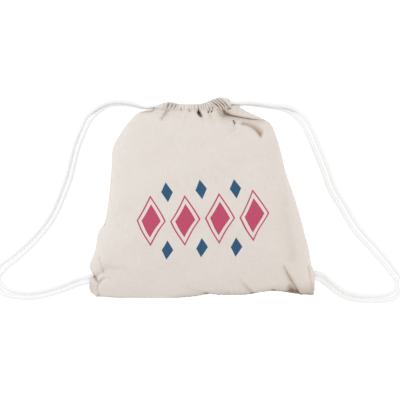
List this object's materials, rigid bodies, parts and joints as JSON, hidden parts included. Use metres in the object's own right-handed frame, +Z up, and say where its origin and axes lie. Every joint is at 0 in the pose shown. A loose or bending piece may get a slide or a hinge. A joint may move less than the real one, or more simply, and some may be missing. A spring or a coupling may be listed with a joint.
{
  "type": "gym bag",
  "caption": "Soft cotton drawstring gym bag lying on its back, lightly filled, with a gathered mouth and cords spread at both sides.",
  "frame": {"origin": "on the surface the bag lies on, under the middle of the bag's box without its free cords", "axes": "+X to the right of the front, +Y from the bottom seam towards the mouth, +Z up out of the front"},
  "size_m": [0.6669, 0.3306, 0.0763],
  "materials": {
    "cotton_cloth": "plain-woven natural cotton, matt, with a printed design on the front",
    "cotton_cord": "soft braided white cotton cord, matt"
  },
  "bodies": {
    "root": {"front_panel": "cotton_cloth", "back_panel": "cotton_cloth", "front_casing": "cotton_cloth", "back_casing": "cotton_cloth", "front_drawcord": "cotton_cord", "back_drawcord": "cotton_cord"}
  },
  "joints": []
}
